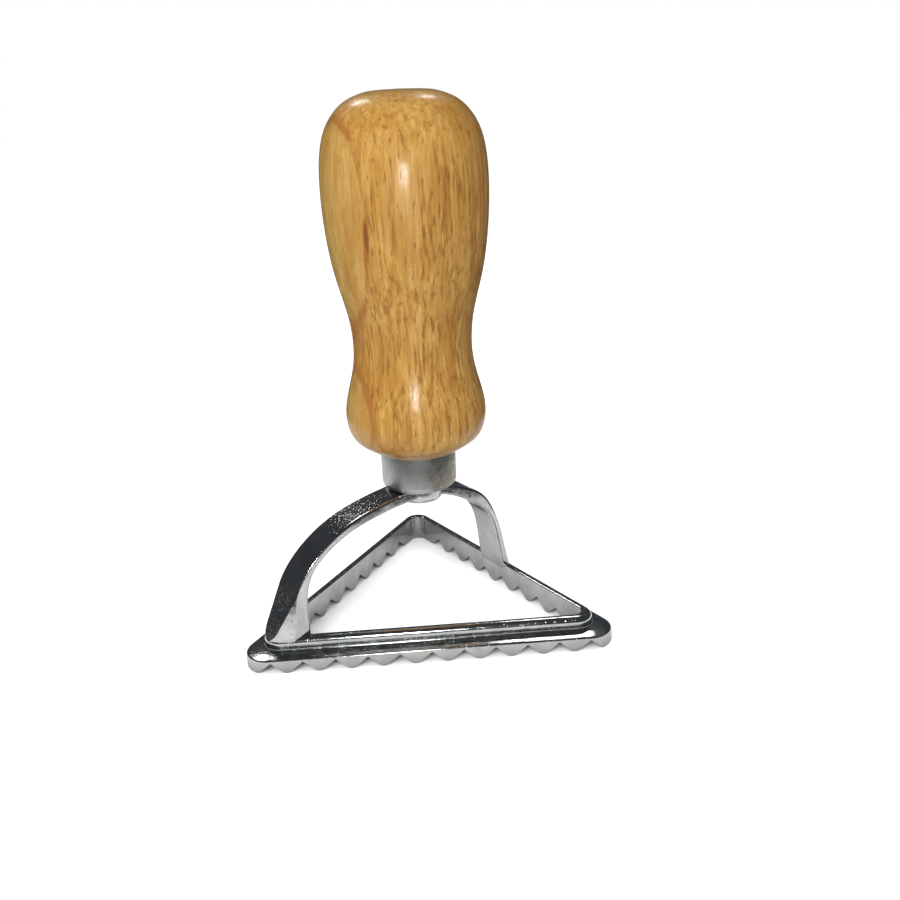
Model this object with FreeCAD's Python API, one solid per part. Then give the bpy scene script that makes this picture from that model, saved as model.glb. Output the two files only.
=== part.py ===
import FreeCAD, Part
import math
import os

# A triangular dough stamp: a toothed triangular ring on a cast arch, a steel
# ferrule and a turned wooden handle, held together by one screw.
# Lengths are in millimetres. The teeth stand on z = 0. The arch lies in the
# plane y = 0, from the corner at -X to the middle of the side at +X.

# Ring
rim_inradius = 19.4           # middle of the triangle to the riser
rim_corner_radius = 3.2
rim_height = 5.5              # top of the rim above the table
rim_width = 1.8               # inner wall, also its row of teeth
rim_inner_corner = 1.8
rim_outer_round = 1.1
rim_inner_round = 0.3
riser_foot_fillet = 0.4
flange_width = 2.6            # riser to the toothed edge, along the sides
flange_corner_radius = 4.6
flange_height = 3.05          # top of the flange beside the riser
flange_edge_drop = 0.35       # the top falls this much on its way out
flange_slope_width = 2.1
flange_thickness = 1.2
flange_edge_round = 0.35
skirt_thickness = 1.2         # outer row of teeth
inner_foot_height = 0.4       # the inner teeth end this far above the table

# Teeth
tooth_pitch = 6.0
outer_tooth_height = 2.1
inner_tooth_height = 2.0
tooth_tip_radius = 0.9
tooth_tip_land = 0.3          # flat left on each tip

# Arch and hub
arch_crown_drop = 0.1         # crown of the arch below the top of the hub
arch_width_top = 6.4
arch_width_foot = 8.4
arch_edge_round = 0.45
arch_foot_height = 2.7        # underside of the foot inside the corner
arch_foot_inset = 0.1         # riser to the sides of the foot
hub_diameter = 8.5
hub_top_height = 27.5
hub_height = 3.0
hub_edge_round = 0.7

# Outer face of the arch: share of the reach from the hub axis to the corner
# (negative) or to the side (positive), and share of the crown height.
arch_outer_points = [(-1.010, 0.128), (-0.964, 0.248), (-0.893, 0.405), (-0.828, 0.562),
                     (-0.718, 0.727), (-0.524, 0.885), (-0.309, 0.967), (0.000, 1.000),
                     (0.388, 0.933), (0.680, 0.815), (0.804, 0.670), (0.876, 0.529),
                     (0.925, 0.361), (0.972, 0.197), (1.0, 0.100)]
# Inner face, from the side back to the corner.
arch_inner_points = [(0.887, 0.146), (0.865, 0.256), (0.835, 0.383), (0.768, 0.595),
                     (0.722, 0.660), (0.516, 0.792), (0.185, 0.909), (-0.112, 0.930),
                     (-0.346, 0.887), (-0.537, 0.813), (-0.653, 0.727), (-0.738, 0.624),
                     (-0.777, 0.509), (-0.787, 0.401)]

# Ferrule
ferrule_diameter = 14.6
ferrule_height = 7.5
ferrule_wall = 0.7
ferrule_corner_radius = 1.3   # pressed round at the closed end

# Handle
handle_length = 66.0          # above the ferrule
handle_max_diameter = 30.2
tenon_clearance = 0.1         # round the tenon in the ferrule
tenon_floor_gap = 0.5
# Share of the length above the ferrule and share of the largest radius.
handle_points = [(0.0, 0.510), (0.013, 0.616), (0.048, 0.812), (0.085, 0.877),
                 (0.120, 0.889), (0.190, 0.833), (0.261, 0.759), (0.318, 0.740),
                 (0.402, 0.776), (0.509, 0.891), (0.615, 0.968), (0.721, 1.0),
                 (0.791, 0.997), (0.862, 0.960), (0.898, 0.914), (0.933, 0.830),
                 (0.961, 0.722), (0.978, 0.612), (0.990, 0.480), (0.9985, 0.240),
                 (1.0, 0.0)]

# Screw
screw_diameter = 3.5
screw_length = 35.0
screw_head_diameter = 6.7
screw_head_land = 0.25
screw_point_length = 3.0
screw_recess_width = 0.9
screw_recess_span = 3.4
screw_recess_depth = 1.1
hub_bore_clearance = 0.1      # on the radius, round the shank in the hub
pilot_clearance = 0.02        # on the radius, in the wood
head_land_clearance = 0.05

# Places worked out from the sizes above
flange_inradius = rim_inradius + flange_width
corner_reach = 2 * flange_inradius - flange_corner_radius
axis_x = (corner_reach - flange_inradius) / 2   # puts the ring's box about x = 0
rim_corner_reach = 2 * rim_inradius - rim_corner_radius
arch_crown_height = hub_top_height - arch_crown_drop
hub_bottom = hub_top_height - hub_height
ferrule_top = hub_top_height + ferrule_height
ferrule_inner_radius = ferrule_diameter / 2 - ferrule_wall
screw_radius = screw_diameter / 2
screw_head_radius = screw_head_diameter / 2
screw_head_height = screw_head_land + screw_head_radius - screw_radius
screw_tip = hub_bottom + screw_length

V = FreeCAD.Vector
UP = V(0, 0, 1)
SIDES = (0.0, 120.0, 240.0)   # direction each side of the triangle faces


def direction(degrees):
    """Unit vector in the plane at an angle from +X."""
    a = math.radians(degrees)
    return V(math.cos(a), math.sin(a), 0)


def triangle(inradius, corner, z, height):
    """Prism on a triangle with round corners, one corner at -X."""
    edges = []
    last = None
    first = None
    for face in (240.0, 0.0, 120.0):
        bend = face - 60.0
        centre = direction(bend) * (2 * (inradius - corner)) + V(0, 0, z)
        start = centre + direction(bend - 60.0) * corner
        middle = centre + direction(bend) * corner
        end = centre + direction(bend + 60.0) * corner
        if last is not None:
            edges.append(Part.makeLine(last, start))
        else:
            first = start
        edges.append(Part.Arc(start, middle, end).toShape())
        last = end
    edges.append(Part.makeLine(last, first))
    return Part.Face(Part.Wire(edges)).extrude(V(0, 0, height))


def side_edges(solid, z, inradius):
    """Straight level edges at height z whose distance from the middle is inradius."""
    found = []
    for edge in solid.Edges:
        box = edge.BoundBox
        middle = edge.discretize(3)[1]
        reach = max(middle.dot(direction(face)) for face in SIDES)
        if abs(box.ZMin - z) < 1e-4 and abs(box.ZMax - z) < 1e-4 and abs(reach - inradius) < 1e-4:
            found.append(edge)
    return found


def around(points, inradius, corner):
    """Solids that carry a (reach, height) section round a triangle's sides and bends."""
    half = (inradius - corner) * math.sqrt(3)
    pieces = []
    for face in SIDES:
        outward = direction(face)
        along = direction(face + 90)
        section = [outward * reach + UP * z - along * half for reach, z in points]
        start = Part.Face(Part.makePolygon(section + section[:1]))
        pieces.append(start.extrude(along * (2 * half)))
        end = start.copy()
        end.translate(along * (2 * half))
        pieces.append(end.revolve(outward * (inradius - corner) + along * half, UP, 120))
    return pieces


def flange():
    """The toothed flange, solid across, its top falling towards the edge."""
    body = triangle(flange_inradius, flange_corner_radius, 0, flange_height)
    start = flange_inradius - flange_slope_width
    past = flange_inradius + 1
    low = flange_height - flange_edge_drop * (past - start) / flange_slope_width
    above = flange_height + 1
    slope = [(start, flange_height), (past, low), (past, above), (start, above)]
    return body.cut(around(slope, flange_inradius, flange_corner_radius))


def ring_blank():
    """The stepped ring before its teeth are cut."""
    inner = rim_inradius - rim_width
    body = flange().fuse(triangle(rim_inradius, rim_corner_radius, 0, rim_height))
    body = body.cut(triangle(inner, rim_inner_corner, -1, rim_height + 2))
    body = body.removeSplitter()
    # each round runs on through the bends at the corners
    edge = flange_height - flange_edge_drop
    body = body.makeFillet(rim_outer_round, side_edges(body, rim_height, rim_inradius))
    body = body.makeFillet(rim_inner_round, side_edges(body, rim_height, inner))
    body = body.makeFillet(flange_edge_round, side_edges(body, edge, flange_inradius))
    body = body.makeFillet(riser_foot_fillet, side_edges(body, flange_height, rim_inradius))
    channel = triangle(flange_inradius - skirt_thickness, flange_corner_radius - skirt_thickness,
                       -1, flange_height - flange_thickness + 1)
    channel = channel.cut(triangle(rim_inradius, rim_corner_radius, -2, flange_height + 2))
    foot = triangle(rim_inradius, rim_corner_radius, -1, inner_foot_height + 1)
    return body.cut(channel.fuse(foot))


def notch(height, origin, along, outward, depth):
    """Prism that cuts one V between two round-tipped teeth."""
    reach = (tooth_pitch - tooth_tip_land) / 2
    drop = height - tooth_tip_radius
    span = math.hypot(reach, drop)
    flank = math.atan2(drop, reach) + math.asin(tooth_tip_radius / span)
    run = math.sqrt(span ** 2 - tooth_tip_radius ** 2)
    touch = (run * math.cos(flank), height - run * math.sin(flank))
    turn = -math.pi / 2 - flank / 2
    bend = (reach + tooth_tip_radius * math.cos(turn), tooth_tip_radius * (1 + math.sin(turn)))

    def place(u, z):
        return origin + along * u + UP * z

    edges = [Part.makeLine(place(-reach, -1), place(-reach, 0)),
             Part.Arc(place(-reach, 0), place(-bend[0], bend[1]), place(-touch[0], touch[1])).toShape(),
             Part.makeLine(place(-touch[0], touch[1]), place(0, height)),
             Part.makeLine(place(0, height), place(touch[0], touch[1])),
             Part.Arc(place(touch[0], touch[1]), place(bend[0], bend[1]), place(reach, 0)).toShape(),
             Part.makeLine(place(reach, 0), place(reach, -1)),
             Part.makeLine(place(reach, -1), place(-reach, -1))]
    return Part.Face(Part.Wire(edges)).extrude(outward * depth)


def outer_notches():
    """Cutters for the skirt; the last ones sit on the bends by the corners."""
    half = (flange_inradius - flange_corner_radius) * math.sqrt(3)
    bend_share = 0.2 * flange_corner_radius * math.radians(120)
    count = int((half + bend_share) / tooth_pitch)
    # each cut starts in the middle of the channel behind the skirt
    start = (rim_inradius + flange_inradius - skirt_thickness) / 2
    depth = flange_inradius - start + 1
    cutters = []
    for face in SIDES:
        for index in range(-count, count + 1):
            place = index * tooth_pitch
            outward = direction(face)
            along = direction(face + 90)
            if abs(place) <= half:
                origin = outward * start + along * place
            else:
                side = math.copysign(1, place)
                turn = math.degrees((abs(place) - half) / flange_corner_radius) * side
                centre = outward * (flange_inradius - flange_corner_radius) + along * (half * side)
                outward = direction(face + turn)
                along = direction(face + turn + 90)
                origin = centre + outward * (flange_corner_radius - flange_inradius + start)
            cutters.append(notch(outer_tooth_height, origin, along, outward, depth))
    return cutters


def inner_notches():
    """Cutters for the inner wall, half a pitch out of step with the skirt."""
    half = (rim_inradius - rim_width - rim_inner_corner) * math.sqrt(3)
    count = int(half / tooth_pitch)
    cutters = []
    for face in SIDES:
        outward = direction(face)
        along = direction(face + 90)
        for index in range(-count, count):
            place = (index + 0.5) * tooth_pitch
            origin = outward * (rim_inradius - rim_width - 1) + along * place + UP * inner_foot_height
            cutters.append(notch(inner_tooth_height, origin, along, outward, rim_width + 1))
    return cutters


def arch_point(share_x, share_z):
    """A point of the arch outline, measured from the hub axis."""
    reach = rim_corner_reach if share_x < 0 else rim_inradius
    return V(share_x * reach, 0, share_z * arch_crown_height)


def smooth(points):
    """One smooth edge through the points."""
    curve = Part.BSplineCurve()
    curve.interpolate(points)
    return curve.toShape()


def arch():
    """The band from the corner to the middle of the far side."""
    outer = [arch_point(*p) for p in arch_outer_points]
    inner = [arch_point(*p) for p in arch_inner_points]
    foot = V(inner[-1].x, 0, arch_foot_height)
    toe = V(outer[0].x, 0, arch_foot_height)
    edges = [smooth(outer),
             Part.makeLine(outer[-1], inner[0]),
             smooth(inner),
             Part.makeLine(inner[-1], foot),
             Part.makeLine(foot, toe),
             Part.makeLine(toe, outer[0])]
    band = Part.Face(Part.Wire(edges)).extrude(V(0, 2 * arch_width_foot, 0))
    band.translate(V(0, -arch_width_foot, 0))
    # the sides of the band draw in from the feet to the hub
    top = hub_top_height + 1
    low = arch_width_foot / 2
    high = arch_width_top / 2
    far = -corner_reach
    side = [V(far, -low, 0), V(far, low, 0), V(far, high, top), V(far, -high, top), V(far, -low, 0)]
    band = band.common(Part.Face(Part.makePolygon(side)).extrude(V(2 * corner_reach, 0, 0)))
    band = band.makeFillet(arch_edge_round, long_edges(band))
    # the sides of the foot in the corner all but meet the riser
    return band.common(triangle(rim_inradius - arch_foot_inset, rim_corner_radius - arch_foot_inset, 0, top))


def long_edges(band):
    """The curved edges that run the length of the band."""
    return [edge for edge in band.Edges if edge.Length > 0.8 * (rim_corner_reach + rim_inradius)]


def hub():
    """The round boss under the ferrule."""
    boss = Part.makeCylinder(hub_diameter / 2, hub_height, V(0, 0, hub_bottom))
    rim = [edge for edge in boss.Edges if edge.BoundBox.ZMax < hub_bottom + 1e-4]
    return boss.makeFillet(hub_edge_round, rim)


def screw_cavity(extra, land_extra, length):
    """Space for the head cone and the shank, with the given extra radius."""
    head = screw_head_radius
    points = [V(0, 0, -1), V(head + land_extra, 0, -1), V(head + land_extra, 0, screw_head_land),
              V(head, 0, screw_head_land), V(screw_radius + extra, 0, screw_head_height - extra),
              V(screw_radius + extra, 0, length), V(0, 0, length), V(0, 0, -1)]
    cavity = Part.Face(Part.makePolygon(points)).revolve(V(0, 0, 0), UP, 360)
    cavity.translate(V(0, 0, hub_bottom))
    return cavity


def cutter_casting():
    """Ring, arch and hub in one casting."""
    body = ring_blank().fuse([arch(), hub()])
    body = body.cut(outer_notches() + inner_notches())
    body = body.cut(screw_cavity(hub_bore_clearance, head_land_clearance, hub_height + 1))
    return body.removeSplitter()


def ferrule():
    """A pressed cup: a tube with a round-cornered floor and a screw hole."""
    outer = ferrule_diameter / 2
    bend = ferrule_corner_radius
    wall = ferrule_wall
    floor = hub_top_height
    top = ferrule_top
    hole = screw_radius + hub_bore_clearance
    slant = math.sqrt(0.5)
    inner_bend = bend - wall

    def corner(radius):
        middle = V(outer - bend + radius * slant, 0, floor + bend - radius * slant)
        return Part.Arc(V(outer - bend, 0, floor + bend - radius), middle,
                        V(outer - bend + radius, 0, floor + bend)).toShape()

    edges = [Part.makeLine(V(hole, 0, floor), V(outer - bend, 0, floor)),
             corner(bend),
             Part.makeLine(V(outer, 0, floor + bend), V(outer, 0, top)),
             Part.makeLine(V(outer, 0, top), V(outer - wall, 0, top)),
             Part.makeLine(V(outer - wall, 0, top), V(outer - wall, 0, floor + bend)),
             corner(inner_bend),
             Part.makeLine(V(outer - bend, 0, floor + wall), V(hole, 0, floor + wall)),
             Part.makeLine(V(hole, 0, floor + wall), V(hole, 0, floor))]
    return Part.Face(Part.Wire(edges)).revolve(V(0, 0, 0), UP, 360)


def handle():
    """The turned handle with its tenon and the hole for the screw."""
    radius = handle_max_diameter / 2
    outline = [V(share_r * radius, 0, ferrule_top + share_z * handle_length)
               for share_z, share_r in handle_points]
    curve = Part.BSplineCurve()
    curve.interpolate(Points=outline, InitialTangent=V(1, 0, 0.25), FinalTangent=V(-1, 0, 0))
    tenon = ferrule_inner_radius - tenon_clearance
    end = hub_top_height + ferrule_wall + tenon_floor_gap
    bevel = ferrule_corner_radius - ferrule_wall
    low = [outline[-1], V(0, 0, end), V(tenon - bevel, 0, end), V(tenon, 0, end + bevel),
           V(tenon, 0, ferrule_top), outline[0]]
    edges = [curve.toShape()]
    edges += [Part.makeLine(a, b) for a, b in zip(low, low[1:])]
    body = Part.Face(Part.Wire(edges)).revolve(V(0, 0, 0), UP, 360)
    bore = Part.makeCylinder(screw_radius + pilot_clearance, screw_tip + 0.5 - end + 1, V(0, 0, end - 1))
    return body.cut(bore)


def handle_screw():
    """Countersunk wood screw, head down in the hub, point up in the handle."""
    head = screw_head_radius
    points = [V(0, 0, 0), V(head, 0, 0), V(head, 0, screw_head_land),
              V(screw_radius, 0, screw_head_height),
              V(screw_radius, 0, screw_length - screw_point_length),
              V(0, 0, screw_length), V(0, 0, 0)]
    body = Part.Face(Part.makePolygon(points)).revolve(V(0, 0, 0), UP, 360)
    half = screw_recess_span / 2
    wide = screw_recess_width / 2
    for long_x, long_y in ((half, wide), (wide, half)):
        slot = Part.makeBox(2 * long_x, 2 * long_y, screw_recess_depth + 1, V(-long_x, -long_y, -1))
        body = body.cut(slot)
    body.translate(V(0, 0, hub_bottom))
    return body


def write(shape, name):
    """Move the piece to the shared origin and save it."""
    shape.translate(V(axis_x, 0, 0))
    if len(shape.Solids) != 1:
        raise ValueError("%s has %d solids" % (name, len(shape.Solids)))
    shape.Solids[0].exportStep("parts/%s.step" % name)


os.makedirs("parts", exist_ok=True)
write(cutter_casting(), "cutter_casting")
write(ferrule(), "ferrule")
write(handle(), "wooden_handle")
write(handle_screw(), "handle_screw")
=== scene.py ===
import math

import bpy
import numpy as np
from mathutils import Matrix, Vector


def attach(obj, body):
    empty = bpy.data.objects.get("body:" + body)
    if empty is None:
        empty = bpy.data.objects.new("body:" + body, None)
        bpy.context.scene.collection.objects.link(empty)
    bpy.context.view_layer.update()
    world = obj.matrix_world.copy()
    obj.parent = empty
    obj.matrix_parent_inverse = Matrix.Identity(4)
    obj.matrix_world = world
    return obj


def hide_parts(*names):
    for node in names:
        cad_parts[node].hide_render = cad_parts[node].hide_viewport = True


# A triangular dough stamp: a chromed casting with a toothed ring and an arch,
# a steel ferrule, a turned and varnished handle, and one screw through them.
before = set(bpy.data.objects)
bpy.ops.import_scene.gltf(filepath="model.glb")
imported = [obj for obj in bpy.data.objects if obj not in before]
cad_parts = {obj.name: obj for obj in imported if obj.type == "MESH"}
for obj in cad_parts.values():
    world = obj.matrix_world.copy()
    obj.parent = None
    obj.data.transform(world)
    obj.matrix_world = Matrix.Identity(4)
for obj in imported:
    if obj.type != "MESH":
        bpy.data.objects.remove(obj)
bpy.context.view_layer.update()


# The toothed ring, the arch and the hub are one zinc casting, polished and
# chromed. Here is the ring: a flange with a skirt of teeth, a raised rim, and
# an inner wall whose teeth stand half a step away from the skirt's.
MM = 0.001
HUB_AXIS = np.array([8.7, 0.0, 0.0])
FLANGE_REACH, FLANGE_BEND, FLANGE_TOP = 22.0, 4.6, 3.05
EDGE_TOP, EDGE_ROUND, SLOPE_WIDTH = 2.7, 0.35, 2.1
SKIRT_REACH, SKIRT_BEND, CHANNEL_ROOF = 20.8, 3.4, 1.85
RIM_REACH, RIM_BEND, RIM_TOP = 19.4, 3.2, 5.5
RIM_ROUND, RIM_INNER_ROUND, RIM_CREST, RIM_FOOT = 1.1, 0.3, (18.1, 2.1), 0.4
WALL_REACH, WALL_BEND, WALL_FOOT = 17.6, 1.8, 0.05
TOOTH_PITCH, SKIRT_TOOTH, WALL_TOOTH, TOOTHED_HALF = 6.0, 2.1, 2.25, 27.0
WALL_SHIFTS = (0.4, -0.4, 0.0)
TIP_ROUND, TIP_LAND = 0.9, 0.3
EDGE_SOFTNESS = 0.1


def lay_mesh(name, parts, sharp_angle=None):
    """One mesh from several closed skins, each given as points in mm from the
    hub axis and faces. The hub axis is moved to its place in the frame."""
    points = []
    faces = []
    first = 0
    for skin_points, skin_faces in parts:
        points.append(skin_points + HUB_AXIS)
        faces += [tuple(index + first for index in face) for face in skin_faces]
        first += len(skin_points)
    mesh = bpy.data.meshes.new(name)
    mesh.from_pydata((np.concatenate(points) * MM).tolist(), [], faces)
    mesh.validate()
    mesh.polygons.foreach_set("use_smooth", np.ones(len(mesh.polygons), bool))
    if sharp_angle is not None:
        mesh.set_sharp_from_angle(angle=math.radians(sharp_angle))
    mesh.update()
    piece = bpy.data.objects.new(name, mesh)
    bpy.context.scene.collection.objects.link(piece)
    return piece


def cell_faces(rows, columns, wrap_rows):
    """Faces of a grid whose columns run round: each joins a point, its right
    neighbour, and the two points of the next row."""
    index = np.arange(rows * columns).reshape(rows, columns)
    right = np.roll(index, -1, axis=1)
    if wrap_rows:
        below, below_right = np.roll(index, -1, axis=0), np.roll(right, -1, axis=0)
    else:
        index, below = index[:-1], index[1:]
        right, below_right = right[:-1], right[1:]
    return np.stack([index, right, below_right, below], axis=-1).reshape(-1, 4).tolist()


def side_stations():
    """Stations from one corner's middle to the next: how far along the straight
    side, and how far round the bend in radians. Steps of a 16th of half a tooth."""
    step = TOOTH_PITCH / 32
    straight = np.arange(-144, 145) * step
    bend = np.concatenate([np.linspace(0, 0.62, 20), np.linspace(0.62, math.pi / 3, 12)[1:]])
    half = (FLANGE_REACH - FLANGE_BEND) * math.sqrt(3)
    lead = np.arange(1, 17) * step / (half - TOOTHED_HALF)
    share = np.concatenate([-np.ones(len(bend)), -lead[::-1], np.zeros(len(straight)),
                            lead, np.ones(len(bend))])
    along = np.concatenate([-TOOTHED_HALF * np.ones(len(bend) + len(lead)), straight,
                            TOOTHED_HALF * np.ones(len(bend) + len(lead))])
    turn = np.concatenate([-bend[::-1], np.zeros(len(straight) + 2 * len(lead)), bend])
    keep = slice(0, -1)
    return share[keep], along[keep], turn[keep]


def side_points(reach, bend):
    """A row of the ring in one side's own directions, along it and outwards.
    On the straight part the row is parallel to the side at its reach from the
    middle, and on a bend it is an arc of the bend's radius."""
    share, along, turn = side_stations()
    half = (reach - bend) * math.sqrt(3)
    place = along + share * (half - TOOTHED_HALF)
    return np.stack([place + bend * np.sin(turn), (reach - bend) + bend * np.cos(turn)])


def notch_height(offset, height):
    """Height of the cut between two teeth, by the distance from its middle: a
    straight flank from the top of the V, then the round of the tooth's tip."""
    reach = (TOOTH_PITCH - TIP_LAND) / 2
    drop = height - TIP_ROUND
    span = math.hypot(reach, drop)
    flank = math.atan2(drop, reach) + math.asin(TIP_ROUND / span)
    run = math.sqrt(span ** 2 - TIP_ROUND ** 2)
    touch = run * math.cos(flank)
    away = np.abs(offset)
    round_part = TIP_ROUND - np.sqrt(np.clip(TIP_ROUND ** 2 - (reach - away) ** 2, 0, None))
    line_part = height - away * math.tan(flank)
    return np.where(away < touch, line_part, np.where(away < reach, round_part, 0.0))


def skirt_foot(place):
    """Lower edge of the skirt: the highest of the cuts at each point. The last
    cut of a side runs out on the bend."""
    middles = np.arange(-5, 6)[:, None] * TOOTH_PITCH
    return notch_height(place[0][None] - middles, SKIRT_TOOTH).max(axis=0)


def wall_foot(place, shift):
    """Lower edge of the inner wall. Its cuts stand midway between the skirt's,
    moved along the side by the shift."""
    middles = (np.arange(-4, 4)[:, None] + 0.5) * TOOTH_PITCH + shift
    return WALL_FOOT + notch_height(place[0][None] - middles, WALL_TOOTH).max(axis=0)


def quarter(steps):
    """Sine and cosine at even steps of a quarter turn."""
    turn = np.linspace(0, math.pi / 2, steps)
    return zip(np.sin(turn), np.cos(turn))


def ring_rows():
    """The ring's section from the skirt's outer foot up, over the flange and
    the rim, down the inner wall and back under the channel. Each row is a reach,
    a bend, a height and which row of teeth the height stands on."""
    soft = EDGE_SOFTNESS
    rows = [(FLANGE_REACH, FLANGE_BEND, soft * 2, "skirt"),
            (FLANGE_REACH, FLANGE_BEND, 2.2, None)]
    fall = math.atan2(FLANGE_TOP - EDGE_TOP, SLOPE_WIDTH)
    centre = EDGE_TOP - EDGE_ROUND * (1 - math.sin(fall)) / math.cos(fall)
    for turn in np.linspace(0, math.pi / 2 - fall, 7):
        inset = EDGE_ROUND * (1 - math.cos(turn))
        rows.append((FLANGE_REACH - inset, FLANGE_BEND - inset,
                     centre + EDGE_ROUND * math.sin(turn), None))
    for inset in (0.9, 1.5, 1.9):
        height = EDGE_TOP + (FLANGE_TOP - EDGE_TOP) * inset / SLOPE_WIDTH
        rows.append((FLANGE_REACH - inset, FLANGE_BEND - inset, height, None))
    rows.append((FLANGE_REACH - SLOPE_WIDTH, FLANGE_BEND - SLOPE_WIDTH, FLANGE_TOP - 0.01, None))
    for out, up in quarter(5):
        rows.append((RIM_REACH + RIM_FOOT * (1 - out), RIM_BEND + RIM_FOOT * (1 - out),
                     FLANGE_TOP + RIM_FOOT * (1 - up), None))
    rows.append((RIM_REACH, RIM_BEND, 3.6, None))
    rows.append((RIM_REACH, RIM_BEND, 4.2, None))
    for out, up in quarter(10):
        inset = RIM_ROUND * (1 - up)
        rows.append((RIM_REACH - inset, RIM_BEND - inset, RIM_TOP - RIM_ROUND * (1 - out), None))
    rows.append((*RIM_CREST, RIM_TOP + 0.01, None))
    for up, out in quarter(6):
        inset = RIM_INNER_ROUND * (1 - up)
        rows.append((WALL_REACH + inset, WALL_BEND + inset,
                     RIM_TOP - RIM_INNER_ROUND * (1 - out), None))
    rows.append((WALL_REACH, WALL_BEND, 4.9, None))
    rows.append((WALL_REACH, WALL_BEND, soft * 2, "wall"))
    rows.append((WALL_REACH, WALL_BEND, soft, "wall"))
    rows.append((WALL_REACH + soft * 0.3, WALL_BEND + soft * 0.2, soft * 0.3, "wall"))
    rows.append((WALL_REACH + soft, WALL_BEND + soft * 0.6, 0.0, "wall"))
    rows.append((WALL_REACH + soft * 2, WALL_BEND + soft * 1.2, 0.0, "wall"))
    rows.append((RIM_REACH - soft * 2, RIM_BEND - soft * 1.2, 0.0, "wall"))
    rows.append((RIM_REACH - soft, RIM_BEND - soft * 0.6, 0.0, "wall"))
    rows.append((RIM_REACH, RIM_BEND, soft, "wall_back"))
    rows.append((RIM_REACH, RIM_BEND, soft * 2, "wall_back"))
    rows.append((RIM_REACH, RIM_BEND, CHANNEL_ROOF, None))
    rows.append((SKIRT_REACH, SKIRT_BEND, CHANNEL_ROOF, None))
    rows.append((SKIRT_REACH, SKIRT_BEND, soft * 2, "skirt_back"))
    rows.append((SKIRT_REACH, SKIRT_BEND, soft, "skirt_back"))
    rows.append((SKIRT_REACH + soft, SKIRT_BEND + soft, 0.0, "skirt"))
    rows.append((SKIRT_REACH + soft * 2, SKIRT_BEND + soft * 2, 0.0, "skirt"))
    rows.append((FLANGE_REACH - soft * 2, FLANGE_BEND - soft * 2, 0.0, "skirt"))
    rows.append((FLANGE_REACH - soft, FLANGE_BEND - soft, 0.0, "skirt"))
    rows.append((FLANGE_REACH - soft * 0.3, FLANGE_BEND - soft * 0.3, soft * 0.3, "skirt"))
    rows.append((FLANGE_REACH, FLANGE_BEND, soft, "skirt"))
    return rows


def ring_skin():
    """The section carried round the triangle: each row is laid along one side
    and turned into place three times. A row that stands on teeth follows their
    foot, and at the back of a tooth it dips where the cut is above the channel."""
    rows = []
    for reach, bend, height, teeth in ring_rows():
        place = side_points(reach, bend)
        sides = []
        for third, shift in enumerate(WALL_SHIFTS):
            face = third * 2 * math.pi / 3
            level = np.full(place.shape[1], height)
            if teeth is not None:
                foot = skirt_foot(place) if teeth.startswith("skirt") else wall_foot(place, shift)
                if teeth.endswith("back"):
                    level = height * np.clip((CHANNEL_ROOF - foot) / 0.3, -1, 1)
                level = foot + level
            outward = np.array([math.cos(face), math.sin(face)])
            onward = np.array([-math.sin(face), math.cos(face)])
            flat = place[0][:, None] * onward + place[1][:, None] * outward
            sides.append(np.column_stack([flat, level]))
        rows.append(np.concatenate(sides))
    rows = np.stack(rows)
    return rows.reshape(-1, 3), cell_faces(rows.shape[0], rows.shape[1], True)


# The arch is a flat band that springs from the corner, passes under the hub
# and lands on the middle of the far side. Its foot in the corner is cut flush
# with the rim on both sides, and leans inwards above it.
ARCH_OUTER = [(-35.97, 3.51), (-34.30, 6.79), (-31.79, 11.10), (-29.49, 15.40), (-25.56, 19.92),
              (-18.66, 24.25), (-11.01, 26.49), (0.0, 27.40), (7.52, 25.57), (13.20, 22.34),
              (15.60, 18.36), (17.00, 14.49), (17.94, 9.89), (18.86, 5.40), (19.30, 2.74)]
ARCH_INNER = [(-28.00, 10.99), (-27.65, 13.95), (-26.27, 17.10), (-23.26, 19.92), (-19.12, 22.29),
              (-12.32, 24.31), (-4.00, 25.49), (3.59, 24.90), (10.00, 21.70), (14.01, 18.09),
              (14.91, 16.29), (16.21, 10.51), (16.79, 7.01), (17.35, 4.90), (17.90, 3.80)]
ARCH_HALF_LOW, ARCH_HALF_TOP, ARCH_TOP, ARCH_START = 4.2, 3.2, 28.5, 2.7
ARCH_EDGE, FOOT_EDGE, FOOT_INSET, FOOT_LEAN = 0.45, 0.12, 0.1, 0.14


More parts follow.
